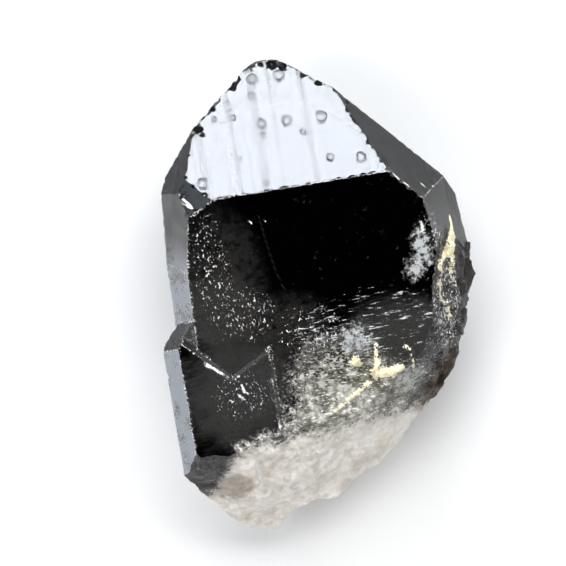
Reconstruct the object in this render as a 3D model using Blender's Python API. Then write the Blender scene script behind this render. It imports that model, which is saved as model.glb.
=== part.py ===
"""Rough morion quartz: one smoky crystal lying on its back prism face, with a smaller crystal
grown into its left flank and a broken, milky root.

X runs to the right, Y along the crystals' long axis towards the tip, Z up. Each crystal is a
block cleaved by its natural faces. A face is given by its azimuth (degrees round the long axis,
0 facing up, 90 to the right), its elevation (degrees that it leans towards the tip) and its
distance in millimetres from the middle of the front prism face. The breaks are rough surfaces
of shallow shell-shaped bowls, placed the same way.
"""

from math import cos, pi, radians, sin
from random import Random

import bmesh
import bpy
from mathutils import Matrix, Vector, noise

MM = 0.001
THICKNESS = 26.0
BLOCK = 120.0
ROOT_END = 46.0

MAIN_FACES = {
    "front prism": (0, 0, 0.0),
    "back prism": (180, 0, THICKNESS),
    "upper left prism": (-59, 8.5, 12.05),
    "lower left prism": (-60.5, 2.0, 11.95),
    "rear left prism": (-120, 0, 17.05),
    "rear right prism": (120, 0, 30.6),
    "right corner": (66.6, 7.4, 21.4),
    "left corner": (-17, 27.5, 8.5),
    "front rhomb": (0, 40.4, 8.9),
    "rear right rhomb": (120, 37.8, 28.8),
    "rear left rhomb": (-118.6, 34.7, 23.9),
    "right rhomb": (60.8, 38.9, 20.8),
    "left rhomb": (-59.6, 35.8, 17.05),
    "back rhomb": (180, 38.2, 33.0),
}
SIDE_FACES = {
    "front prism": (0, 0, 0.5),
    "back prism": (180, 0, 17.0),
    "left prism": (-60, 0, 14.8),
    "rear left prism": (-120, 0, 18.5),
    "right prism": (60, 0, -2.9),
    "left rhomb": (-66, 38, 7.9),
    "front rhomb": (0, 38.2, -2.0),
    "rear left rhomb": (-120, 38.2, 10.4),
}

# Two growth steps bound the side crystal's front face at its upper end and meet at a point.
NOTCH_TIP = Vector((-9.9, -13.2, 0.5))
NOTCH_STEPS = ((47, 34), (-29, 42))
NOTCH_DEPTH = 0.6

# The breaks' relief, in millimetres: bowls, and a finer grain as a share of the bowls' depth.
BOWL_SIZE = 8.0
BOWL_LEVEL = 0.4
GRAIN_SIZE = 3.0
GRAIN = 0.22
GRAIN_OCTAVES = 3
BREAK_CELL = 1.4
HOLLOW_GRAIN = 0.05
HOLLOW_GRAIN_SIZE = 0.33

# Edges with chips: the faces that meet in the edge, those that end it, and the number of chips.
CHIPPED_EDGES = (
    (("front prism", "right rhomb"), ("front rhomb", "right corner"), 4),
    (("front rhomb", "rear left rhomb"), ("left rhomb", "rear right rhomb"), 7),
    (("front rhomb", "rear right rhomb"), ("right rhomb", "rear left rhomb"), 6),
    (("left corner", "upper left prism"), ("left rhomb", "front prism"), 3),
    (("front rhomb", "left rhomb"), ("rear left rhomb", "left corner"), 3),
)
CHIP_RADIUS = (0.35, 0.75)
CHIP_BITE = 0.2
CHIP_JITTER = 0.1
CHIP_CROWDING = 0.38
CHIP_SEED = 11


def direction(azimuth, elevation):
    """Unit vector of a face's outward normal."""
    a = radians(azimuth)
    e = radians(elevation)
    return Vector((cos(e) * sin(a), sin(e), cos(e) * cos(a)))


def corner(faces, names):
    """The point where three of a crystal's faces meet."""
    rows = [direction(*faces[name][:2]) for name in names]
    distances = Vector([faces[name][2] for name in names])
    return Matrix(rows).inverted() @ distances


def add_object(name, bm, collection):
    """A mesh object from millimetre geometry measured from the middle of the front face."""
    bmesh.ops.translate(bm, verts=bm.verts, vec=(0, 0, THICKNESS))
    bmesh.ops.scale(bm, verts=bm.verts, vec=(MM, MM, MM))
    bmesh.ops.recalc_face_normals(bm, faces=bm.faces)
    mesh = bpy.data.meshes.new(name)
    bm.to_mesh(mesh)
    bm.free()
    obj = bpy.data.objects.new(name, mesh)
    collection.objects.link(obj)
    return obj


def add_cutter(name, bm, collection):
    """A helper object that only a Boolean uses."""
    cutter = add_object(name, bm, collection)
    cutter.hide_render = True
    cutter.display_type = "WIRE"
    return cutter


def combine(obj, other, operation, solver="EXACT"):
    """Adds a Boolean that joins the other object to this one, or cuts with it."""
    modifier = obj.modifiers.new(other.name, "BOOLEAN")
    modifier.operation = operation
    modifier.object = other
    modifier.solver = solver


def cleave(bm, point, normal):
    """Cuts off all that lies beyond the plane and closes the cut."""
    geometry = bm.verts[:] + bm.edges[:] + bm.faces[:]
    cut = bmesh.ops.bisect_plane(
        bm, geom=geometry, plane_co=point, plane_no=normal, clear_outer=True
    )
    rim = [item for item in cut["geom_cut"] if isinstance(item, bmesh.types.BMEdge)]
    if rim:
        bmesh.ops.contextual_create(bm, geom=rim)


def crystal(faces):
    """A block cleaved by each natural face."""
    bm = bmesh.new()
    bmesh.ops.create_cube(bm, size=BLOCK)
    for azimuth, elevation, distance in faces.values():
        normal = direction(azimuth, elevation)
        cleave(bm, normal * distance, normal)
    root = Vector((0, -1, 0))
    cleave(bm, root * ROOT_END, root)
    return bm


def notch():
    """The wedge of space above the side crystal's two growth steps."""
    bm = bmesh.new()
    bmesh.ops.create_cube(bm, size=BLOCK)
    for side, slope in NOTCH_STEPS:
        towards = Vector((sin(radians(side)), cos(radians(side)), 0)) * sin(radians(slope))
        step = towards + Vector((0, 0, cos(radians(slope))))
        cleave(bm, NOTCH_TIP, -step)
    floor = NOTCH_TIP - Vector((0, 0, NOTCH_DEPTH))
    cleave(bm, floor, Vector((0, 0, -1)))
    return bm


def bowls(point):
    """0 in the middle of each shell-shaped bowl, rising to the sharp ridges between them."""
    distances, _ = noise.voronoi(point)
    return min(distances[0], 1.0) ** 2


def grain(point):
    """Fine unevenness, about -1 to 1."""
    return noise.fractal(point, 1.0, 2.0, GRAIN_OCTAVES)


def break_block(centre, azimuth, elevation, dome, bowl, seed, reach=33.6):
    """A block that removes all beyond a rough break.

    The break domes outward round its centre with the radius dome, or inward where that is
    negative, its bowls are bowl deep, and it extends as far as reach to each side.
    """
    steps = round(2 * reach / BREAK_CELL)
    shift = Vector((17.3, 5.1, 9.7)) * seed
    bm = bmesh.new()
    bmesh.ops.create_grid(bm, x_segments=steps, y_segments=steps, size=reach)
    for vert in bm.verts:
        place = Vector((vert.co.x, vert.co.y, 0)) + shift
        fall = (vert.co.x**2 + vert.co.y**2) / (2 * dome)
        rough = bowls(place / BOWL_SIZE) - BOWL_LEVEL + GRAIN * grain(place / GRAIN_SIZE)
        vert.co.z = bowl * rough - fall
    top = bmesh.ops.extrude_face_region(bm, geom=bm.faces[:])
    lifted = [item for item in top["geom"] if isinstance(item, bmesh.types.BMVert)]
    for vert in lifted:
        vert.co.z = 2 * reach
    turn = direction(azimuth, elevation).to_track_quat("Z", "Y").to_matrix().to_4x4()
    bmesh.ops.transform(bm, matrix=Matrix.Translation(Vector(centre)) @ turn, verts=bm.verts)
    return bm


def hollow(centre, radii, fineness, seed):
    """A rough rounded hollow, as where a neighbouring crystal stood."""
    bm = bmesh.new()
    bmesh.ops.create_icosphere(bm, subdivisions=fineness, radius=1.0)
    for vert in bm.verts:
        place = vert.co / HOLLOW_GRAIN_SIZE + Vector((seed, 0, 0))
        vert.co *= 1.0 + HOLLOW_GRAIN * grain(place)
    scale = Matrix.Diagonal((*radii, 1.0))
    bmesh.ops.transform(bm, matrix=Matrix.Translation(Vector(centre)) @ scale, verts=bm.verts)
    return bm


def chips():
    """Small rough balls along the main crystal's sharp edges, which bite chips out of them."""
    draw = Random(CHIP_SEED)
    bm = bmesh.new()
    for edge, ends, count in CHIPPED_EDGES:
        start = corner(MAIN_FACES, (*edge, ends[0]))
        finish = corner(MAIN_FACES, (*edge, ends[1]))
        outward = direction(*MAIN_FACES[edge[0]][:2]) + direction(*MAIN_FACES[edge[1]][:2])
        for number in range(count):
            share = (number + 0.5 + draw.uniform(-CHIP_JITTER, CHIP_JITTER)) / count
            spacing = (finish - start).length / count
            radius = min(draw.uniform(*CHIP_RADIUS), CHIP_CROWDING * spacing)
            centre = start.lerp(finish, share) + outward.normalized() * radius * CHIP_BITE
            turn = Matrix.Rotation(draw.uniform(0, pi), 4, start - finish)
            matrix = Matrix.Translation(centre) @ turn @ Matrix.Scale(radius, 4)
            bmesh.ops.create_icosphere(bm, subdivisions=1, radius=1.0, matrix=matrix)
    return bm


def add_breaks(morion, cutters):
    """Breaks the right flank, the root, its underside and the tip, and scars the front face."""
    blocks = {
        "right_flank": break_block((24.6, -8.0, -6.0), 63, -8, dome=150, bowl=0.8, seed=1),
        "shoulder": break_block((22.8, -17.0, -9.0), 63, -26, dome=120, bowl=0.9, seed=2),
        "root_right": break_block((17.3, -24.8, -10.5), 56, -36, dome=120, bowl=1.2, seed=3),
        "root_foot": break_block((8.7, -30.1, -11.0), 42, -47, dome=120, bowl=1.3, seed=4),
        "root_front": break_block((4.0, -21.5, -0.5), 14, -42, dome=150, bowl=1.6, seed=5),
        "lobe_front": break_block((-11.0, -33.0, -8.5), -14, -50, dome=90, bowl=1.3, seed=6),
        "lobe_left": break_block((-16.2, -35.6, -13.0), -75, -40, dome=60, bowl=0.7, seed=7),
        "under_foot": break_block((-6.0, -38.0, -22.8), 165, -20, dome=110, bowl=1.5, seed=8),
        "under_right": break_block((17.0, -23.0, -16.0), 137, -25, dome=80, bowl=1.5, seed=9),
        "front_scar": break_block((7.0, -14.8, -0.45), 0, -3, dome=-60, bowl=0.7, seed=10),
        "tip": break_block((2.0, 31.4, -14.0), -6, 74, dome=14, bowl=0.3, seed=11, reach=8.4),
    }
    for name, bm in blocks.items():
        combine(morion, add_cutter(name + "_break", bm, cutters), "DIFFERENCE", "MANIFOLD")


def smoky_quartz():
    """Near-black glassy quartz."""
    material = bpy.data.materials.new("smoky_quartz")
    material.use_nodes = True
    shader = material.node_tree.nodes["Principled BSDF"]
    shader.inputs["Base Color"].default_value = (0.016, 0.014, 0.013, 1.0)
    shader.inputs["Roughness"].default_value = 0.08
    shader.inputs["Metallic"].default_value = 0.0
    shader.inputs["IOR"].default_value = 1.544
    return material


def centre_on_floor(morion, helpers):
    """Moves everything so that the origin is the middle of the specimen's underside box."""
    bpy.context.view_layer.update()
    evaluated = morion.evaluated_get(bpy.context.evaluated_depsgraph_get())
    points = [Vector(point) for point in evaluated.bound_box]
    low = Vector([min(point[axis] for point in points) for axis in range(3)])
    high = Vector([max(point[axis] for point in points) for axis in range(3)])
    middle = (low + high) / 2
    for obj in (morion, *helpers.objects):
        obj.location = (-middle.x, -middle.y, -low.z)


def main():
    for obj in list(bpy.data.objects):
        bpy.data.objects.remove(obj)
    specimen = bpy.data.collections.new("rough_morion_quartz")
    cutters = bpy.data.collections.new("cutters")
    bpy.context.scene.collection.children.link(specimen)
    bpy.context.scene.collection.children.link(cutters)

    morion = add_object("morion_crystal", crystal(MAIN_FACES), specimen)
    side = add_cutter("side_crystal", crystal(SIDE_FACES), cutters)
    combine(side, add_cutter("side_notch", notch(), cutters), "DIFFERENCE")
    combine(morion, side, "UNION")
    morion.data.materials.append(smoky_quartz())
    add_breaks(morion, cutters)
    hollows = {
        "root_arch": hollow((-0.3, -43.4, -16.0), (7.4, 7.4, 16.0), fineness=4, seed=8),
        "flank_pit": hollow((29.0, -2.0, -8.5), (1.5, 2.6, 3.2), fineness=2, seed=3),
        "left_edge_pit": hollow((-16.9, 5.9, -7.2), (0.9, 1.4, 1.6), fineness=2, seed=5),
    }
    hollows["edge_chips"] = chips()
    for name, bm in hollows.items():
        combine(morion, add_cutter(name, bm, cutters), "DIFFERENCE", "MANIFOLD")
    centre_on_floor(morion, cutters)


main()
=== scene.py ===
"""Looks of the rough morion quartz: a near-black glassy crystal with a milky, broken root.

The crystal's faces stay where the frame has them. This script divides the surface finely, gives
the breaks their grain, the front face its growth steps and the edges their nicks, and paints the
milky root, the silvery mosaic, the cloudy fractures and the cream crust by place. Places are in
millimetres in the frame: X right, Y towards the tip, Z up, with the front face on top.
"""

from functools import reduce
from math import asin, atan2, cos, degrees, pi, radians, sin

import bmesh
import bpy
from mathutils import Matrix, Vector, noise


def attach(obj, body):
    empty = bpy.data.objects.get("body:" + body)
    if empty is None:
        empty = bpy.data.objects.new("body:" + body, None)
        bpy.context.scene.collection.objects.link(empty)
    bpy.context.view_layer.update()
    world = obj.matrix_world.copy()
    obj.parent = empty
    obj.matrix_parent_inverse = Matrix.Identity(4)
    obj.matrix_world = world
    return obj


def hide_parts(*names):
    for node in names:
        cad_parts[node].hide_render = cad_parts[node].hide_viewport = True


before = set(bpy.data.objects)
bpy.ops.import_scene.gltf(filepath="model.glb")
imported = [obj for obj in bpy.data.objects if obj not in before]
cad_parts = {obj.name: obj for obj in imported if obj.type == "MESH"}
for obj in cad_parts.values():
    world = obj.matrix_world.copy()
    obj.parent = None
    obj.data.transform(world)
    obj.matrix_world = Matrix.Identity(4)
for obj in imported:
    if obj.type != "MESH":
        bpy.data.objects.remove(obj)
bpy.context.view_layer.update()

MM = 0.001
TOP = 26.0
SEED = 7
noise.seed_set(SEED)

# The camera looks at AIM from DISTANCE, in a square frame of FRAME_PIXELS a side.
AIM = Vector((-4.655, 4.345, TOP))
DISTANCE = 411.6
FOCAL_PIXELS = 2800
FRAME_PIXELS = 566
SENSOR = 36.0
YAW = -0.32
TILT = -7.47
ROLL = -9.37
EXPOSURE = 0.04
CONTRAST = 0.74
CLIP_START = 0.01
CLIP_END = 20

# The fine mesh: longest edges on what the camera sees and on the underside, in millimetres.
WELD = 1e-7
SLIVER = 0.002
MENDS = 3
FRONT_PITCH = 0.36
BACK_PITCH = 0.8
BACK_NORMAL = -0.25
CHIP_PITCH = 0.17
PASSES = (12, 12, 6, 6, 3, 3, 1.5, 1.5, 0.7, 0.7, 0.36, 0.36, 0.36, 0.17, 0.17)
FLAT_ANGLE = 0.3
FLAT_AREA = 4.0
ON_PLANE = 0.004
SHARP_ANGLE = 30
LONG_EDGE = 1.4
CHIP_SURROUND = 1.6

# Relief, in millimetres. A wander moves a border or a wave about, by noise of its size.
LUMPS = 0.26
LUMP_SIZE = 2.2
GRAIN = 0.07
GRAIN_SIZE = 0.7
RAGGED = 0.2
RAGGED_SIZE = 0.9
NICK = 0.34
NICK_SIZE = 0.55
NICK_LEVEL = 0.12
STEP_HEIGHT = 0.05
STEP_SPACING = 1.3
MOSAIC_HEIGHT = 0.22
MOSAIC_SIZE = 1.3
CRUST_HEIGHT = 0.3
HACKLE_HEIGHT = 0.9
HACKLE_SIZE = 2.4
MILK_LUMPS = 0.3
MILK_LUMP_SIZE = 5.0
PLATE_GAIN = 1.6
MOSAIC_SEED = 7.3
HACKLE_SEED = 5.1
HACKLE_X = (13.0, 16.5)
HACKLE_Y = (9.5, 5.5)
HACKLE_Z = (6.0, 10.0)
STEP_WANDER = 0.9
STEP_WANDER_SIZE = 1.6
STEP_LENGTHEN = 0.12
STEP_SLICE = 3.0
STREAK_GAIN = 1.6
MOSAIC_GAIN = 2.0
CRUST_RISE = (-0.2, 0.7)
CRUST_WANDER = 0.5
CRUST_WANDER_SIZE = 0.8
FACES_UP = 0.999
SAME_PLANE = 0.05

# Chips on the rim of the front rhomb face: (middle, radius, depth), in millimetres.
CHIPPED = -1
LOWEST_CHIP = 26.0
CHIPS = (
    ((-5.6, 35.4, 10.6), 0.9, 0.5),
    ((-4.2, 35.7, 10.7), 0.6, 0.4),
    ((-6.6, 34.2, 12.1), 0.65, 0.5),
    ((-7.5, 33.3, 12.9), 0.8, 0.5),
    ((-2.6, 35.8, 10.8), 0.4, 0.3),
    ((-0.9, 35.5, 11.1), 0.9, 0.5),
    ((0.6, 35.0, 11.5), 0.8, 0.5),
    ((3.6, 33.5, 13.0), 0.45, 0.4),
    ((5.6, 31.9, 14.4), 0.5, 0.4),
    ((-10.8, 30.5, 15.3), 0.5, 0.4),
    ((-13.3, 28.1, 17.5), 0.7, 0.5),
    ((-12.9, 27.2, 18.2), 0.4, 0.3),
    ((9.3, 28.4, 16.2), 0.35, 0.3),
)
CHIP_WANDER = 0.5
CHIP_WANDER_SIZE = 0.5

# Where the milky root begins on the front: (x, y) along its border, from left to right.
MILK_BORDER = (
    (-24.0, -30.0), (-20.5, -27.4), (-17.9, -23.4), (-15.8, -20.0), (-11.5, -18.4),
    (-8.1, -18.6), (-2.0, -18.6), (4.0, -18.0), (10.0, -18.6), (14.5, -21.0), (24.0, -26.0),
)
MILK_FADE = 4.2
MILK_LEAN = 0.12
MILK_WANDER = 0.9
MILK_WANDER_SIZE = 4.0

# Soft patches: (centre, radii), in millimetres.
MOSAIC = (
    ((1.4, -11.0, 26.0), (8.4, 7.4, 6.0)),
    ((1.0, -17.0, 25.0), (10.5, 6.5, 8.0)),
    ((9.0, -15.0, 24.0), (7.5, 6.0, 7.0)),
)
CLOUDS = (
    ((4.8, -5.6, 26.0), (2.7, 3.2, 2.0)),
    ((16.4, 6.0, 25.6), (1.9, 3.8, 4.0)),
    ((15.0, 3.2, 25.8), (2.2, 2.2, 4.0)),
    ((12.5, -13.5, 23.5), (3.0, 3.5, 4.0)),
)
HAZES = (
    ((-13.6, -10.5, 26.5), (9.5, 9.5, 3.0)),
    ((-14.5, 1.5, 26.0), (6.0, 6.5, 3.0)),
    ((11.0, -7.0, 25.5), (11.0, 7.0, 8.0)),
)
# White flecks: partly white inclusions, partly painted sparkle.
FLECKS = (
    ((-14.6, 8.0, 26.0), (4.2, 12.5, 3.0)),
    ((-10.5, 0.5, 26.0), (6.0, 5.5, 3.0)),
    ((-2.0, -3.0, 26.0), (7.0, 5.0, 3.0)),
    ((17.6, 8.5, 24.0), (3.2, 5.5, 4.0)),
    ((18.8, -4.0, 22.0), (5.0, 10.0, 8.0)),
    ((-13.5, -11.0, 26.5), (6.0, 5.0, 2.0)),
)
# Painted glints: white streaks where the growth steps catch the light; the steps' relief uses the
# same patches.
GLINT_STREAKS = (((6.5, -3.8, 26.0), (16.0, 7.0, 8.0)), ((16.5, -8.0, 20.0), (7.5, 10.0, 10.0)))
VEILS = (
    ((-13.0, 5.0, 26.0), (6.5, 13.0, 4.0)),
    ((-7.0, -2.5, 26.0), (9.0, 6.0, 4.0)),
    ((17.0, -15.5, 15.0), (4.0, 6.0, 8.0)),
)
AMBER = (((17.2, -14.5, 15.5), (4.5, 6.5, 6.0)), ((14.0, -18.5, 14.0), (4.0, 3.0, 5.0)))
WINDOW = (((-16.9, -25.6, 19.5), (3.6, 3.2, 6.0)),)

# The crust's strokes: (points, radius at the start and the end).
CRUST = (
    (((21.6, 9.0, 18.0), (21.4, 6.6, 18.8), (20.6, 4.6, 20.6)), 0.35, 1.3),
    (((20.6, 4.6, 20.6), (18.8, 3.3, 23.9), (17.7, 2.0, 25.0)), 0.8, 0.55),
    (((18.8, 3.3, 23.9), (18.3, 0.7, 23.9), (18.4, -2.5, 22.9), (19.0, -5.4, 21.4)), 0.45, 0.4),
    (((20.9, 4.4, 19.9), (20.3, 1.5, 20.2), (20.5, -0.9, 19.4), (20.6, -3.5, 18.8)), 0.75, 0.4),
    (((4.1, -9.0, 25.7), (4.3, -9.2, 25.7)), 0.8, 0.7),
    (((7.4, -7.0, 26.0), (7.2, -9.3, 26.0), (6.9, -11.4, 25.6)), 0.35, 0.55),
    (((6.9, -11.2, 25.6), (8.8, -11.3, 26.0), (10.7, -11.0, 26.0)), 0.95, 0.55),
    (((11.6, -8.0, 26.0), (12.4, -8.8, 26.0), (12.4, -10.2, 25.8), (12.3, -12.0, 24.0)), 0.3, 0.3),
    (((5.5, -12.5, 25.4), (2.2, -14.6, 25.1), (-1.2, -16.5, 25.6)), 0.42, 0.22),
)
CRUST_REACH = 1.6

# Thin white fracture lines, and painted glints along steps: (points, radius at the start and the
# end).
CRACK_AND_GLINT_LINES = (
    (((-17.9, -5.6, 26.5), (-14.9, -8.0, 26.5), (-13.3, -8.2, 26.5)), 0.3, 0.22),
    (((-8.5, -5.2, 26.2), (-8.6, -17.1, 26.2)), 0.2, 0.3),
    (((-13.1, -9.6, 26.5), (-12.9, -10.6, 26.5), (-12.3, -11.0, 26.5)), 0.22, 0.2),
    (((-13.8, -11.0, 26.5), (-13.1, -11.7, 26.5)), 0.22, 0.2),
    (((-17.6, 19.4, 23.8), (-15.9, 17.4, 25.5)), 0.26, 0.2),
    (((-12.9, -21.4, 24.4), (-12.8, -27.3, 18.3)), 0.5, 0.35),
    (((-10.2, -21.8, 23.9), (-9.6, -25.5, 20.0)), 0.35, 0.25),
    (((-8.1, 14.2, 26.0), (-7.8, 13.8, 26.0)), 0.22, 0.15),
    (((-5.9, 13.9, 26.0), (-5.7, 13.6, 26.0)), 0.18, 0.15),
    (((-17.1, 18.0, 24.7), (-16.0, 17.3, 25.5)), 0.24, 0.2),
    (((13.9, 17.7, 25.6), (14.6, 16.7, 25.9), (15.9, 15.3, 25.6)), 0.26, 0.2),
    (((17.9, 15.2, 22.4), (18.4, 14.6, 22.7)), 0.24, 0.2),
    (((16.8, 9.9, 26.0), (16.9, 8.7, 26.0)), 0.3, 0.25),
)
HAIRLINE = (
    (((-6.6, 14.8, 26.0), (-6.0, 9.8, 26.0), (-5.4, 6.1, 26.0), (-3.7, 0.4, 26.0)), 0.18, 0.18),
)

# Edges are worn white below EDGE_TOP, but not on the step between the two front faces.
EDGE_TOP = 18.5
STEP_X = (-17.0, -8.9)
STEP_Y = (-10.0, -4.6)

# Painted masks by name. Outside a patch or stroke a mask falls below 0, at most to FAR.
FAR = -9.0
PATCH_MASKS = {
    "mosaic": MOSAIC,
    "cloud": CLOUDS,
    "flecks": FLECKS,
    "glint_streaks": GLINT_STREAKS,
    "veil": VEILS,
    "window": WINDOW,
    "haze": HAZES,
    "amber": AMBER,
}
STROKE_MASKS = {"crack_and_glint": CRACK_AND_GLINT_LINES, "hairline": HAIRLINE, "crust": CRUST}

# Finishes of flat faces: frost, which also carries a painted sheen, striation and ring marks, each
# from 0 to 1.
FINISH_NAMES = ("frost_sheen", "striae", "rings")
RHOMB_LEAN = 25
RHOMB_UP = 0.5
NO_FINISH = (0.0, 0.0, 0.0)
RINGED = (0.0, 0.0, 1.0)
PLAIN_PRISM = (0.1, 1.0, 0.0)
# Prism faces apart from the plain ones: (azimuth, tolerance, finish), in degrees.
PRISMS = (
    (-60, 9, (1.0, 0.6, 0.0)),
    (66, 9, (0.2, 0.3, 0.0)),
    (0, 2, (0.0, 0.2, 0.0)),
)

# Noises that several looks share: (lumps a millimetre, detail, stretch).
NOISES = {
    "coarse": (0.35, 4.0, None),
    "medium": (1.1, 4.0, None),
    "fine": (3.6, 3.0, None),
    "finest": (9.0, 2.0, None),
    "along": (1.0, 4.0, (0.55, 3.4, 3.4)),
}
# How a painted mask fades in: (low, high, how strongly each noise breaks it up).
FADES = {
    "milk": (0.2, 0.85, {"coarse": 0.5, "medium": 0.9, "fine": 0.7}),
    "mosaic": (0.0, 0.8, {"coarse": 0.5, "medium": 1.0, "fine": 1.8}),
    "cloud": (0.0, 1.5, {"medium": 2.8, "fine": 2.2}),
    "crust": (-0.1, 0.12, {"medium": 1.4, "fine": 1.6}),
    "veil": (-0.2, 1.3, {"coarse": 0.6, "fine": 0.3}),
    "haze": (-0.3, 1.5, {"coarse": 1.1, "along": 1.0, "fine": 0.4}),
    "crack_and_glint": (0.0, 0.5, {"medium": 1.6, "finest": 2.4}),
    "hairline": (0.0, 0.6, {}),
    "amber": (0.0, 0.8, {"medium": 1.8, "fine": 1.6}),
    "window": (-0.2, 0.8, {"coarse": 1.0, "medium": 1.2, "fine": 0.6}),
}

# Colours, as linear red, green and blue.
WHITE = (1.0, 1.0, 1.0)
GLASS = (0.92, 0.9, 0.88)
SMOKE = (0.42, 0.26, 0.06, 1.0)
BROWN = (0.12, 0.085, 0.055)
HAZE_GREY = (0.3, 0.3, 0.29)
HAIRLINE_GREY = (0.3, 0.3, 0.3)
# Frost on the side prism faces, partly a painted reflection of pale light.
FROST_SHEEN_BLUE = (0.62, 0.66, 0.72)
BREAK_DARK = (0.02, 0.016, 0.012)
CLOUD_PALE = (0.7, 0.73, 0.75)
# White of specks, nicks and cracks, and of painted glints and sparkle.
SPECK_AND_GLINT_WHITE = (0.93, 0.93, 0.92)
# The morion's own black, laid on opaque in the rim chips: partly painted shade.
CHIP_SHADE_BLACK = (0.003, 0.003, 0.004)
PLATE_GREY = (0.4, 0.39, 0.34)
PLATE_SILVER = (0.72, 0.7, 0.65)
PLATE_OLIVE = (0.26, 0.25, 0.2)
PLATE_GRIT = (0.03, 0.029, 0.026)
PLATE_WHITE = (0.9, 0.9, 0.88)
MILK_DULL = (0.76, 0.715, 0.655)
MILK_BRIGHT = (0.95, 0.92, 0.875)
MILK_VEIN = (0.95, 0.925, 0.89)
MILK_WHITE = (0.98, 0.98, 0.97)
MILK_WINDOW = (0.4, 0.35, 0.3)
CRUST_BUFF = (0.74, 0.64, 0.36)
CRUST_CREAM = (0.93, 0.89, 0.74)
FLOOR_GREY = (0.86, 0.865, 0.87, 1.0)

# The Mix node's sockets for colours.
COLOUR_A = 6
COLOUR_B = 7
COLOUR_MIXED = 2

# The quartz: its optics, its absorption, its polish and how far light strays in its milky parts.
IOR = 1.544
SPECULAR = 0.3
SMOKE_DENSITY = 2600.0
POLISH = 0.045
BREAK_ROUGHNESS = 0.06
RING_ROUGHNESS = 0.1
SCATTER = 0.35
SCATTER_RADIUS = (1.0, 0.9, 0.8)
SCATTER_SCALE = 1.2

# Bump heights, in millimetres.
CHUNK_BUMP = 0.8
FACET_BUMP = 0.7
FINE_BUMP = 0.07
FINEST_BUMP = 0.02
STRIAE_BUMP = 0.035
SPECK_BUMP = 0.03
RING_BUMP = 0.022

# Softboxes: (name, azimuth, elevation, distance, size, radiance, colour).
SOFTBOXES = (
    ("window", 0, 17, 0.7, (0.3, 0.17), 18.5, (0.9, 0.94, 1.0)),
    ("glow", -33, 33, 0.8, (0.2, 0.2), 3.0, (0.8, 0.9, 1.0)),
    ("key", 14, 54, 0.8, (0.85, 0.4), 5.2, WHITE),
    ("left", -100, 42, 0.8, (0.5, 0.5), 3.0, WHITE),
    ("right", 95, 42, 0.8, (0.5, 0.5), 0.9, WHITE),
    ("root", 180, 48, 0.8, (0.6, 0.4), 1.3, WHITE),
)

# The floor, in metres, and the world: (height of the view's direction, strength).
FLOOR_RADIUS = 3.0
FLOOR_SIDES = 96
FLOOR_ROUGHNESS = 0.8
FLOOR_SPECULAR = 0.2
HORIZON = (0.3, 0.9)
OVERHEAD = (0.62, 0.035)


def smooth(low, high, value):
    """0 at low, 1 at high, and smooth in between; low may be above high."""
    share = min(max((value - low) / (high - low), 0.0), 1.0)
    return share * share * (3 - 2 * share)


def rough_noise(point, size, octaves=3):
    """Fractal noise of about -1 to 1 whose lumps are about this many millimetres wide."""
    return noise.fractal(point / size, 1.0, 2.0, octaves)


def merge_flat_faces(bm):
    """Joins coplanar triangles, numbers each large flat face and returns their normals."""
    bmesh.ops.dissolve_limit(
        bm, angle_limit=radians(FLAT_ANGLE), verts=bm.verts, edges=bm.edges, delimit=set()
    )
    bm.normal_update()
    plane = bm.faces.layers.int.new("plane")
    planes = []
    for face in sorted(bm.faces, key=lambda item: -item.calc_area()):
        if face.calc_area() < FLAT_AREA * MM * MM:
            break
        planes.append((face.normal.copy(), face.normal.dot(face.verts[0].co)))
        face[plane] = len(planes)
    for face in bm.faces:
        near = {other[plane] for edge in face.edges for other in edge.link_faces} - {0}
        for number in near if not face[plane] else ():
            normal, offset = planes[number - 1]
            if all(abs(normal.dot(vert.co) - offset) < ON_PLANE * MM for vert in face.verts):
                face[plane] = number
    bmesh.ops.triangulate(bm, faces=bm.faces[:])
    return plane, [normal for normal, _ in planes]


def drop_doubled(bm):
    """Takes out slivers, and faces that double each other."""
    bmesh.ops.dissolve_degenerate(bm, dist=SLIVER * MM, edges=bm.edges)
    bmesh.ops.triangulate(bm, faces=[face for face in bm.faces if len(face.verts) > 3])
    found = {}
    for face in bm.faces:
        found.setdefault(frozenset(face.verts), []).append(face)
    doubled = [face for group in found.values() if len(group) > 1 for face in group]
    bmesh.ops.delete(bm, geom=doubled, context="FACES_ONLY")


def crowded_faces(bm):
    """The faces round edges that more than two faces share, with those at ragged vertices."""
    crowded = {face for edge in bm.edges if len(edge.link_faces) > 2 for face in edge.link_faces}
    if not crowded:
        return []
    ragged = {face for vert in bm.verts if not vert.is_manifold for face in vert.link_faces}
    return sorted(crowded | ragged, key=lambda face: face.index)


def drop_stray_faces(bm):
    """Leaves a closed surface, with two faces at each edge."""
    drop_doubled(bm)
    bm.faces.index_update()
    for _ in range(MENDS):
        bmesh.ops.delete(bm, geom=crowded_faces(bm), context="FACES_ONLY")
        loose = [edge for edge in bm.edges if not edge.link_faces]
        bmesh.ops.delete(bm, geom=loose, context="EDGES")
        rim = [edge for edge in bm.edges if len(edge.link_faces) == 1]
        filled = bmesh.ops.holes_fill(bm, edges=rim, sides=0)["faces"]
        bmesh.ops.triangulate(bm, faces=filled)
        bm.normal_update()
        bm.faces.index_update()


def near_chip(point):
    """Whether a rim chip is at hand, so that the mesh has to be finer."""
    if point.y < LOWEST_CHIP:
        return False
    return any(
        (point - Vector(middle)).length < CHIP_SURROUND * radius for middle, radius, _ in CHIPS
    )


def too_long(edge, longest):
    """Whether this edge has to be split when the pass allows this length, in millimetres."""
    facing = max((face.normal.z for face in edge.link_faces), default=0.0)
    pitch = FRONT_PITCH if facing > BACK_NORMAL else BACK_PITCH
    pitch = CHIP_PITCH if near_chip(edge.verts[0].co / MM) else pitch
    return edge.calc_length() > LONG_EDGE * max(longest, pitch) * MM


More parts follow.
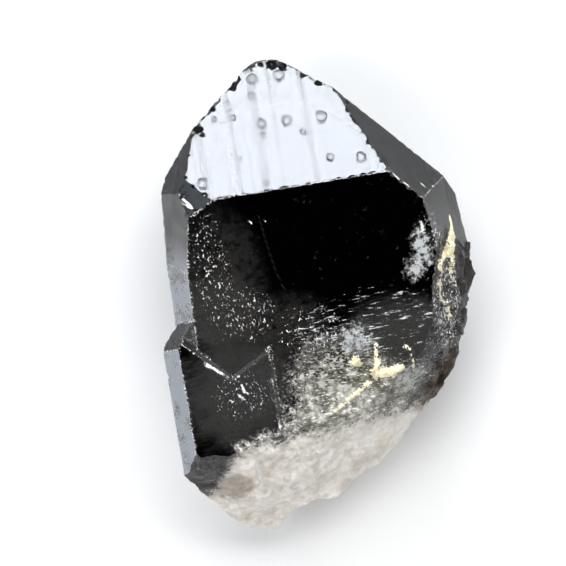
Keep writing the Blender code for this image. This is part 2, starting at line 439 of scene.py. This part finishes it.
def divide(bm, plane):
    """Splits long edges, and turns edges inside flat faces, until the triangles are small."""
    for longest in PASSES:
        long_edges = [edge for edge in bm.edges if too_long(edge, longest)]
        bmesh.ops.subdivide_edges(bm, edges=long_edges, cuts=1)
        bmesh.ops.triangulate(bm, faces=[face for face in bm.faces if len(face.verts) > 3])
        inside = [edge for edge in bm.edges if len({face[plane] for face in edge.link_faces}) == 1]
        inside = [edge for edge in inside if edge.link_faces[0][plane] and len(edge.link_faces) == 2]
        bmesh.ops.beautify_fill(bm, faces=bm.faces[:], edges=inside, method="AREA")
        bm.normal_update()
    drop_stray_faces(bm)


def patch(point, patches):
    """1 in the middle of the nearest soft patch, 0 on its rim and below that outside."""
    most = FAR
    for centre, radii in patches:
        off = [(point[axis] - centre[axis]) / radii[axis] for axis in range(3)]
        most = max(most, 1.0 - sum(part * part for part in off))
    return most


def stroke(point, strokes):
    """1 on a stroke's middle line, 0 at its radius and below that outside."""
    most = FAR
    for points, first, last in strokes:
        count = len(points) - 1
        for number in range(count):
            start = Vector(points[number])
            along = Vector(points[number + 1]) - start
            share = min(max((point - start).dot(along) / along.length_squared, 0.0), 1.0)
            radius = first + (last - first) * (number + share) / count
            away = (point - start - along * share).length
            most = max(most, 1.0 - away / radius)
    return most


def border_height(x):
    """The y of the milky root's border at this x."""
    for (x0, y0), (x1, y1) in zip(MILK_BORDER, MILK_BORDER[1:]):
        if x <= x1:
            return y0 + (y1 - y0) * (max(x, x0) - x0) / (x1 - x0)
    return MILK_BORDER[-1][1]


def milkiness(point):
    """0 in the smoky crystal, 1 in the milky root, soft between them."""
    border = border_height(point.x) + MILK_LEAN * (TOP - point.z)
    border += MILK_WANDER * rough_noise(point, MILK_WANDER_SIZE)
    return smooth(MILK_FADE, -MILK_FADE, point.y - border)


def plate_relief(point, size, seed):
    """Height of small tilted plates of this size, from about -1 to 1."""
    _, cells = noise.voronoi(point / size)
    tilt = noise.cell_vector(cells[0] * seed) - Vector((0.5, 0.5, 0.5))
    return (point / size - cells[0]).dot(tilt) * PLATE_GAIN


def step_relief(point):
    """Height of the growth steps that run across a prism face, as a share of STEP_HEIGHT."""
    place = Vector((point.x * STEP_LENGTHEN, point.y, STEP_SLICE))
    wave = point.y / STEP_SPACING + STEP_WANDER * rough_noise(place, STEP_WANDER_SIZE)
    return (wave % 1.0) - 0.5


def front_relief(point):
    """The front face's growth steps and mosaic, in millimetres."""
    glint_streaks = min(max(patch(point, GLINT_STREAKS), 0.0) * STREAK_GAIN, 1.0)
    mosaic = min(max(patch(point, MOSAIC), 0.0) * MOSAIC_GAIN, 1.0)
    steps = STEP_HEIGHT * glint_streaks * step_relief(point)
    return steps + MOSAIC_HEIGHT * mosaic * plate_relief(point, MOSAIC_SIZE, MOSAIC_SEED)


def hackle_relief(point):
    """Height of the right flank's tilted splinters, in millimetres."""
    share = smooth(*HACKLE_X, point.x) * smooth(*HACKLE_Y, point.y) * smooth(*HACKLE_Z, point.z)
    return HACKLE_HEIGHT * share * plate_relief(point, HACKLE_SIZE, HACKLE_SEED)


def break_relief(point):
    """Height of the lumps, grain and splinters of a break, in millimetres."""
    lumps = LUMPS * rough_noise(point, LUMP_SIZE) + GRAIN * rough_noise(point, GRAIN_SIZE)
    lumps += MILK_LUMPS * milkiness(point) * rough_noise(point, MILK_LUMP_SIZE)
    return lumps + hackle_relief(point)


def crust_relief(point):
    """Height of the cream crust, in millimetres."""
    reach = stroke(point, CRUST) + CRUST_WANDER * rough_noise(point, CRUST_WANDER_SIZE)
    return CRUST_HEIGHT * smooth(*CRUST_RISE, reach)


def chip_depth(point):
    """How deep a rim chip bites at this point, in millimetres."""
    deepest = 0.0
    for middle, radius, depth in CHIPS:
        away = (point - Vector(middle)).length / radius
        away *= 1.0 + CHIP_WANDER * rough_noise(point, CHIP_WANDER_SIZE)
        deepest = max(deepest, depth * (1.0 - away))
    return deepest


def vertex_faces(vert, plane):
    """The numbers of the flat faces that meet in a vertex, and whether a break does."""
    numbers = {face[plane] for face in vert.link_faces}
    return sorted(numbers - {0}), 0 in numbers


def in_planes(vector, normals):
    """The part of the vector that leaves a point in all of these planes."""
    kept = vector.copy()
    basis = []
    for normal in normals:
        part = normal.copy()
        for other in basis:
            part -= part.dot(other) * other
        if part.length > SAME_PLANE:
            basis.append(part.normalized())
    for part in basis:
        kept -= kept.dot(part) * part
    return kept


def moved(vert, plane, normals):
    """How far this vertex moves from the frame's surface, in millimetres."""
    point = vert.co / MM
    numbers, broken = vertex_faces(vert, plane)
    flats = [normals[number - 1] for number in numbers]
    chip = chip_depth(point)
    if chip > 0:
        return -vert.normal * chip
    if broken and not flats:
        return vert.normal * (break_relief(point) + crust_relief(point))
    if broken:
        jag = noise.turbulence_vector(point / RAGGED_SIZE, 2, False)
        return in_planes(jag * RAGGED, flats)
    if len(flats) > 1:
        bite = rough_noise(point, NICK_SIZE) - NICK_LEVEL
        return -vert.normal * NICK * min(max(bite, 0.0), 1.0)
    if flats[0].z > FACES_UP:
        return vert.normal * (front_relief(point) + crust_relief(point))
    return Vector()


def add_relief(bm, plane, normals):
    """Moves the vertices, and keeps them above the floor."""
    bm.normal_update()
    moves = [moved(vert, plane, normals) for vert in bm.verts]
    for vert, move in zip(bm.verts, moves):
        vert.co += move * MM
        vert.co.z = max(vert.co.z, 0.0)


def face_finish(normal):
    """The finish of a flat face that faces this way."""
    azimuth = degrees(atan2(normal.x, normal.z))
    elevation = degrees(asin(min(max(normal.y, -1.0), 1.0)))
    if abs(elevation) > RHOMB_LEAN:
        return RINGED if normal.z > RHOMB_UP else NO_FINISH
    for middle, tolerance, finish in PRISMS:
        if abs(azimuth - middle) < tolerance:
            return finish
    return PLAIN_PRISM


def worn_edges(mesh, points, plane_numbers):
    """1 at each vertex on a worn edge of the crystal, 0 elsewhere."""
    meets = [set() for _ in mesh.vertices]
    for polygon in mesh.polygons:
        for index in polygon.vertices:
            meets[index].add(plane_numbers[polygon.index])
    edge = []
    for point, numbers in zip(points, meets):
        on_step = STEP_X[0] < point.x < STEP_X[1] and STEP_Y[0] < point.y < STEP_Y[1]
        worn = point.y < EDGE_TOP and not on_step
        edge.append(1.0 if worn and len(numbers - {0}) > 1 else 0.0)
    return edge


def store(mesh, domain, values_by_name):
    """Keeps values on the mesh's points or faces, for the material."""
    for name, values in values_by_name.items():
        mesh.attributes.new(name, "FLOAT", domain).data.foreach_set("value", values)


def paint(mesh, plane_numbers, normals):
    """Stores where each kind of surface is, for the material."""
    points = [vert.co / MM for vert in mesh.vertices]
    masks = {"milk": [milkiness(point) for point in points]}
    for name, patches in PATCH_MASKS.items():
        masks[name] = [max(patch(point, patches), -CRUST_REACH) for point in points]
    for name, strokes in STROKE_MASKS.items():
        masks[name] = [max(stroke(point, strokes), -CRUST_REACH) for point in points]
    masks["edge"] = worn_edges(mesh, points, plane_numbers)
    store(mesh, "POINT", masks)
    finishes = [NO_FINISH] + [face_finish(normal) for normal in normals]
    rows = [finishes[max(number, 0)] for number in plane_numbers]
    kinds = {name: [row[place] for row in rows] for place, name in enumerate(FINISH_NAMES)}
    kinds["flat"] = [1.0 if number else 0.0 for number in plane_numbers]
    kinds["chip"] = [1.0 if number == CHIPPED else 0.0 for number in plane_numbers]
    store(mesh, "FACE", kinds)


def mark_sharp_edges(bm, plane):
    """Shades the surface smooth, but for its edges and the bends of its breaks."""
    for edge in bm.edges:
        numbers = {face[plane] for face in edge.link_faces}
        bend = edge.calc_face_angle(pi)
        edge.smooth = bend < radians(SHARP_ANGLE) and len(numbers) == 1
    for face in bm.faces:
        face.smooth = True


def crystal_piece():
    """The crystal's surface, finely divided, with its relief and its masks."""
    bm = bmesh.new()
    bm.from_mesh(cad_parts["morion_crystal"].data)
    bmesh.ops.remove_doubles(bm, verts=bm.verts, dist=WELD)
    plane, normals = merge_flat_faces(bm)
    drop_stray_faces(bm)
    divide(bm, plane)
    add_relief(bm, plane, normals)
    for face in bm.faces:
        if chip_depth(face.calc_center_median() / MM) > 0:
            face[plane] = CHIPPED
    mark_sharp_edges(bm, plane)
    plane_numbers = [face[plane] for face in bm.faces]
    mesh = bpy.data.meshes.new("morion_quartz")
    bm.to_mesh(mesh)
    bm.free()
    paint(mesh, plane_numbers, normals)
    piece = bpy.data.objects.new("morion_quartz", mesh)
    bpy.context.scene.collection.objects.link(piece)
    return piece


class Shading:
    """Short calls for building a material's nodes."""

    def __init__(self, name):
        self.material = bpy.data.materials.new(name)
        self.material.use_nodes = True
        self.nodes = self.material.node_tree.nodes
        self.links = self.material.node_tree.links
        self.shader = self.nodes["Principled BSDF"]
        self.output = self.nodes["Material Output"]
        place = self.nodes.new("ShaderNodeTexCoord").outputs["Object"]
        self.place = self.vector("SCALE", place, scale=1 / MM)

    def put(self, value, socket):
        """Sets a socket from another socket, a number or a colour."""
        if isinstance(value, bpy.types.NodeSocket):
            self.links.new(value, socket)
        elif isinstance(value, tuple) and len(value) == 3 and socket.type == "RGBA":
            socket.default_value = (*value, 1.0)
        else:
            socket.default_value = value

    def vector(self, operation, first, second=None, scale=None):
        """A vector sum, difference, product or the like."""
        node = self.nodes.new("ShaderNodeVectorMath")
        node.operation = operation
        self.put(first, node.inputs[0])
        if second is not None:
            self.put(second, node.inputs[1])
        if scale is not None:
            self.put(scale, node.inputs["Scale"])
        return node.outputs["Value" if operation == "DOT_PRODUCT" else "Vector"]

    def dot(self, first, second):
        """The dot product of two vectors."""
        return self.vector("DOT_PRODUCT", first, second)

    def math(self, operation, first, second=0.0, third=0.0):
        """A sum, difference, product or the like of numbers."""
        node = self.nodes.new("ShaderNodeMath")
        node.operation = operation
        for value, socket in zip((first, second, third), node.inputs):
            self.put(value, socket)
        return node.outputs[0]

    def times(self, first, second):
        """The product of two numbers."""
        return self.math("MULTIPLY", first, second)

    def minus(self, first, second):
        """The difference of two numbers."""
        return self.math("SUBTRACT", first, second)

    def times_plus(self, first, second, third):
        """The product of the first two numbers, plus the third."""
        return self.math("MULTIPLY_ADD", first, second, third)

    def highest(self, *values):
        """The largest of these numbers."""
        return reduce(lambda first, second: self.math("MAXIMUM", first, second), values)

    def attribute(self, name):
        """A value that is stored on the mesh."""
        node = self.nodes.new("ShaderNodeAttribute")
        node.attribute_name = name
        return node.outputs["Fac"]

    def noise(self, per_mm, detail=3.0, stretch=None, roughness=0.5):
        """Noise of 0 to 1 with this many lumps a millimetre."""
        node = self.nodes.new("ShaderNodeTexNoise")
        place = self.place if stretch is None else self.vector("MULTIPLY", self.place, stretch)
        self.put(place, node.inputs["Vector"])
        node.inputs["Scale"].default_value = per_mm
        node.inputs["Detail"].default_value = detail
        node.inputs["Roughness"].default_value = roughness
        return node.outputs["Fac"]

    def cells(self, per_mm):
        """A Voronoi texture with this many cells a millimetre."""
        node = self.nodes.new("ShaderNodeTexVoronoi")
        self.put(self.place, node.inputs["Vector"])
        node.inputs["Scale"].default_value = per_mm
        return node

    def plates(self, per_mm):
        """The height of small tilted plates, with this many a millimetre."""
        cells = self.cells(per_mm)
        lean = self.vector("SUBTRACT", cells.outputs["Color"], (0.5, 0.5, 0.5))
        offset = self.vector("SUBTRACT", self.place, cells.outputs["Position"])
        return self.dot(offset, lean)

    def ramp(self, value, low, high):
        """0 at low and 1 at high, smooth in between."""
        node = self.nodes.new("ShaderNodeMapRange")
        node.interpolation_type = "SMOOTHSTEP"
        self.put(value, node.inputs["Value"])
        if low > high:
            low, high = high, low
            node.inputs["To Min"].default_value = 1.0
            node.inputs["To Max"].default_value = 0.0
        node.inputs["From Min"].default_value = low
        node.inputs["From Max"].default_value = high
        return node.outputs["Result"]

    def mix(self, share, first, second):
        """Mixes two numbers."""
        node = self.nodes.new("ShaderNodeMix")
        self.put(share, node.inputs["Factor"])
        self.put(first, node.inputs["A"])
        self.put(second, node.inputs["B"])
        return node.outputs["Result"]

    def blend(self, share, first, second):
        """Mixes two colours."""
        node = self.nodes.new("ShaderNodeMix")
        node.data_type = "RGBA"
        self.put(share, node.inputs["Factor"])
        self.put(first, node.inputs[COLOUR_A])
        self.put(second, node.inputs[COLOUR_B])
        return node.outputs[COLOUR_MIXED]


def masked(s, texture, name):
    """A painted mask, broken up by noises and faded in."""
    low, high, strengths = FADES[name]
    value = s.attribute(name)
    for kind, strength in strengths.items():
        value = s.times_plus(s.minus(texture[kind], 0.5), strength, value)
    return s.ramp(value, low, high)


def speck_level(s, name, full, crowd):
    """The noise level that white specks and painted glints stand above, lower where this mask is
    strong.
    """
    level = s.times_plus(s.ramp(s.attribute(name), -0.1, full), -0.17, 0.84)
    return s.times_plus(crowd, -0.16, level)


def white_specks_and_glints(s, texture, broken, crack_and_glint):
    """White flecks with painted sparkle, painted glint streaks, nicked edges, and cracks with
    painted glints, as one mask.
    """
    crowd = s.noise(0.8, 2.0)
    shards = s.noise(2.3, 4.0, stretch=(1.3, 0.8, 1.0), roughness=0.72)
    level = s.times_plus(broken, -0.04, speck_level(s, "flecks", 0.8, crowd))
    level = s.times_plus(s.ramp(s.attribute("crust"), -1.5, -0.2), -0.04, level)
    flecks = s.ramp(s.minus(shards, level), 0.0, 0.03)
    lines = s.mix(0.35, texture["along"], texture["finest"])
    glint_streaks = s.ramp(s.minus(lines, speck_level(s, "glint_streaks", 0.7, crowd)), 0.0, 0.03)
    nicks = s.times(s.attribute("edge"), s.ramp(texture["fine"], 0.53, 0.59))
    return s.highest(flecks, glint_streaks, nicks, s.times(crack_and_glint, 0.9))


def frost_and_sheen(s, texture, upward):
    """The patchy frost of the prism faces, thinner towards the tip; its pale blue-grey is partly
    frost and partly a painted reflection.
    """
    patches = s.ramp(s.mix(0.4, texture["coarse"], texture["fine"]), 0.22, 0.55)
    thinner = s.times_plus(s.ramp(upward, 14.0, 6.0), 0.7, 0.3)
    return s.times(s.times(s.attribute("frost_sheen"), patches), thinner)


def plate_colour(s, texture, upward, strokes):
    """The silvery plates' colour, with olive clumps, dark grit and white strokes."""
    tint = s.blend(s.ramp(texture["medium"], 0.35, 0.65), PLATE_GREY, PLATE_SILVER)
    tint = s.blend(0.03, tint, s.cells(1.4).outputs["Color"])
    clumps = s.noise(0.42, 3.0, stretch=(1.0, 1.3, 1.0))
    tint = s.blend(s.ramp(clumps, 0.56, 0.4), tint, PLATE_OLIVE)
    grit = s.mix(0.4, s.noise(2.8, 3.0, stretch=(0.8, 1.4, 1.2)), texture["medium"])
    level = s.times_plus(s.ramp(upward, -5.0, -16.0), -0.22, 0.55)
    colour = s.blend(s.ramp(s.minus(grit, level), 0.02, -0.04), tint, PLATE_GRIT)
    return s.blend(s.ramp(strokes, 0.57, 0.63), colour, PLATE_WHITE)


def milk_colour(s, strokes, window):
    """The milky root's colour, with wisps, veins, white strokes and a grey window."""
    wisps = s.noise(0.3, 6.0, stretch=(1.2, 0.7, 1.0), roughness=0.62)
    colour = s.blend(s.ramp(wisps, 0.28, 0.66), MILK_DULL, MILK_BRIGHT)
    veins = s.noise(0.9, 4.0, stretch=(1.8, 0.45, 0.8))
    colour = s.blend(s.ramp(veins, 0.58, 0.75), colour, MILK_VEIN)
    shallow = s.times(s.ramp(s.attribute("milk"), 1.0, 0.45), s.ramp(strokes, 0.55, 0.6))
    colour = s.blend(shallow, colour, MILK_WHITE)
    return s.blend(s.times(window, 0.7), colour, MILK_WINDOW)


def ring_marks(s):
    """Thin rings on the front rhomb face, round some of the spots of a loose net."""
    spots = s.cells(0.3)
    spots.voronoi_dimensions = "2D"
    widen = s.times_plus(s.dot(spots.outputs["Color"], (0.0, 1.0, 0.0)), 1.2, 0.6)
    from_spot = s.times(spots.outputs["Distance"], widen)
    ring = s.times(s.ramp(from_spot, 0.1, 0.14), s.ramp(from_spot, 0.2, 0.16))
    chosen = s.ramp(s.dot(spots.outputs["Color"], (1.0, 0.0, 0.0)), 0.45, 0.47)
    return s.times(s.times(ring, chosen), s.attribute("rings"))


def surface_height(s, texture, broken, mask, specks_and_glints):
    """The height of the relief that is too fine for the mesh, in millimetres."""
    chunks = s.times(s.plates(1.1), s.times(broken, CHUNK_BUMP))
    facets = s.times(s.plates(2.6), FACET_BUMP)
    height = s.times_plus(facets, mask["mosaic"], chunks)
    grain = s.times_plus(texture["fine"], FINE_BUMP, s.times(texture["finest"], FINEST_BUMP))
    grainy = s.highest(s.times(mask["milk"], 0.6), mask["crust"], broken)
    height = s.times_plus(grain, grainy, height)
    striae = s.times(texture["along"], STRIAE_BUMP)
    height = s.times_plus(s.attribute("striae"), striae, height)
    height = s.times_plus(specks_and_glints, SPECK_BUMP, height)
    return s.times_plus(ring_marks(s), RING_BUMP, height)


def quartz_layers(s, texture, mask, broken, specks_and_glints):
    """The looks over the glass, lowest first: (where, colour, opacity, roughness)."""
    upward = s.dot(s.place, (0.0, 1.0, 0.0))
    strokes = s.noise(2.4, 3.0, stretch=(0.6, 1.7, 1.0))
    veil = s.times(mask["veil"], s.ramp(texture["medium"], 0.2, 0.8))
    plates = plate_colour(s, texture, upward, strokes)
    milk = milk_colour(s, strokes, mask["window"])
    crust = s.blend(s.ramp(texture["fine"], 0.35, 0.6), CRUST_BUFF, CRUST_CREAM)
    return (
        (veil, BROWN, 0.15, 0.1),
        (mask["haze"], HAZE_GREY, 0.2, 0.12),
        (mask["hairline"], HAIRLINE_GREY, 0.07, 0.2),
        # Frost, partly a painted reflection of pale light on the side prism faces.
        (frost_and_sheen(s, texture, upward), FROST_SHEEN_BLUE, 0.5, 0.32),
        (s.times(broken, 0.5), BREAK_DARK, 0.4, 0.2),
        (mask["mosaic"], plates, 0.85, 0.25),
        (mask["amber"], BROWN, 0.7, 0.3),
        (mask["milk"], milk, 0.96, 0.38),
        (mask["cloud"], CLOUD_PALE, 0.75, 0.4),
        # White specks, nicks and cracks, with painted glints and sparkle.
        (specks_and_glints, SPECK_AND_GLINT_WHITE, 0.97, 0.45),
        (mask["crust"], crust, 1.0, 0.8),
        # Rim chips: the morion's own black laid on opaque, partly painted shade that keeps them
        # dark.
        (s.attribute("chip"), CHIP_SHADE_BLACK, 0.95, 0.12),
    )


def glass_roughness(s, broken):
    """The bare glass's roughness: duller on breaks, and in sheets on the front rhomb face."""
    sheets = s.noise(0.55, 3.0, stretch=(1.0, 0.012, 0.012))
    dull = s.times(s.attribute("rings"), s.ramp(sheets, 0.5, 0.62))
    return s.times_plus(dull, RING_ROUGHNESS, s.times_plus(broken, BREAK_ROUGHNESS, POLISH))


def quartz_material():
    """Smoky glass that turns milky, silvery, cloudy or crusted where the masks say."""
    s = Shading("smoky_quartz")
    texture = {name: s.noise(*row) for name, row in NOISES.items()}
    mask = {name: masked(s, texture, name) for name in FADES}
    broken = s.minus(1.0, s.attribute("flat"))
    specks_and_glints = white_specks_and_glints(s, texture, broken, mask["crack_and_glint"])
    colour = GLASS
    opaque = 0.0
    rough = glass_roughness(s, broken)
    layers = quartz_layers(s, texture, mask, broken, specks_and_glints)
    for where, layer_colour, layer_opaque, layer_rough in layers:
        colour = s.blend(where, colour, layer_colour)
        opaque = s.mix(where, opaque, layer_opaque)
        rough = s.mix(where, rough, layer_rough)
    bump = s.nodes.new("ShaderNodeBump")
    bump.inputs["Distance"].default_value = MM
    s.put(surface_height(s, texture, broken, mask, specks_and_glints), bump.inputs["Height"])

    s.put(colour, s.shader.inputs["Base Color"])
    s.put(s.minus(1.0, opaque), s.shader.inputs["Transmission Weight"])
    s.put(rough, s.shader.inputs["Roughness"])
    s.put(bump.outputs["Normal"], s.shader.inputs["Normal"])
    s.shader.inputs["IOR"].default_value = IOR
    s.shader.inputs["Specular IOR Level"].default_value = SPECULAR
    s.shader.inputs["Subsurface Weight"].default_value = SCATTER
    s.shader.inputs["Subsurface Radius"].default_value = SCATTER_RADIUS
    s.shader.inputs["Subsurface Scale"].default_value = SCATTER_SCALE * MM
    smoke = s.nodes.new("ShaderNodeVolumeAbsorption")
    smoke.inputs["Color"].default_value = SMOKE
    smoke.inputs["Density"].default_value = SMOKE_DENSITY
    s.links.new(smoke.outputs[0], s.output.inputs["Volume"])
    return s.material


def camera():
    """The photograph's view: nearly straight down on the front face, a little from the tip."""
    yaw = radians(YAW)
    tilt = radians(TILT)
    roll = radians(ROLL)
    back = Vector((sin(yaw) * cos(tilt), -sin(tilt), cos(yaw) * cos(tilt)))
    up = Vector((sin(yaw) * sin(tilt), cos(tilt), cos(yaw) * sin(tilt)))
    right = up.cross(back)
    turned_right = cos(roll) * right + sin(roll) * up
    turned_up = cos(roll) * up - sin(roll) * right
    data = bpy.data.cameras.new("camera")
    data.sensor_width = SENSOR
    data.lens = FOCAL_PIXELS / FRAME_PIXELS * SENSOR
    data.clip_start = CLIP_START
    data.clip_end = CLIP_END
    obj = bpy.data.objects.new("camera", data)
    turn = Matrix((turned_right, turned_up, back)).transposed()
    obj.matrix_world = Matrix.Translation((AIM + back * DISTANCE) * MM) @ turn.to_4x4()
    bpy.context.scene.collection.objects.link(obj)
    bpy.context.scene.camera = obj


def softbox(name, azimuth, elevation, distance, size, radiance, colour):
    """A rectangular lamp that faces the object. Azimuth 0 is on the tip's side, 90 right."""
    a = radians(azimuth)
    e = radians(elevation)
    away = Vector((sin(a) * cos(e), cos(a) * cos(e), sin(e)))
    data = bpy.data.lights.new(name, "AREA")
    data.shape = "RECTANGLE"
    data.size, data.size_y = size
    data.energy = radiance * size[0] * size[1] * pi
    data.color = colour
    obj = bpy.data.objects.new(name, data)
    obj.location = away * distance
    obj.rotation_mode = "QUATERNION"
    obj.rotation_quaternion = away.to_track_quat("Z", "Y")
    bpy.context.scene.collection.objects.link(obj)


def pale_floor():
    """A plain pale floor."""
    bpy.ops.mesh.primitive_circle_add(vertices=FLOOR_SIDES, radius=FLOOR_RADIUS, fill_type="NGON")
    floor = bpy.context.object
    floor.name = "floor"
    s = Shading("pale_floor")
    s.shader.inputs["Base Color"].default_value = FLOOR_GREY
    s.shader.inputs["Roughness"].default_value = FLOOR_ROUGHNESS
    s.shader.inputs["Specular IOR Level"].default_value = FLOOR_SPECULAR
    floor.data.materials.append(s.material)


def studio_world():
    """A world that is pale at the horizon and dark overhead."""
    world = bpy.data.worlds.new("studio")
    world.use_nodes = True
    nodes = world.node_tree.nodes
    links = world.node_tree.links
    place = nodes.new("ShaderNodeTexCoord")
    split = nodes.new("ShaderNodeSeparateXYZ")
    links.new(place.outputs["Generated"], split.inputs[0])
    level = nodes.new("ShaderNodeMapRange")
    level.interpolation_type = "SMOOTHSTEP"
    level.inputs["From Min"].default_value, level.inputs["To Min"].default_value = HORIZON
    level.inputs["From Max"].default_value, level.inputs["To Max"].default_value = OVERHEAD
    links.new(split.outputs["Z"], level.inputs["Value"])
    background = nodes["Background"]
    background.inputs["Color"].default_value = (*WHITE, 1.0)
    links.new(level.outputs["Result"], background.inputs["Strength"])
    bpy.context.scene.world = world


def tone():
    """Plain display colours, with the photograph's exposure and contrast."""
    view = bpy.context.scene.view_settings
    view.view_transform = "Standard"
    view.exposure = EXPOSURE
    view.gamma = CONTRAST


crystal = crystal_piece()
crystal.data.materials.append(quartz_material())
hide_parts("morion_crystal")
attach(crystal, "root")
camera()
for row in SOFTBOXES:
    softbox(*row)
pale_floor()
studio_world()
tone()
bpy.context.scene.cycles.use_denoising = True
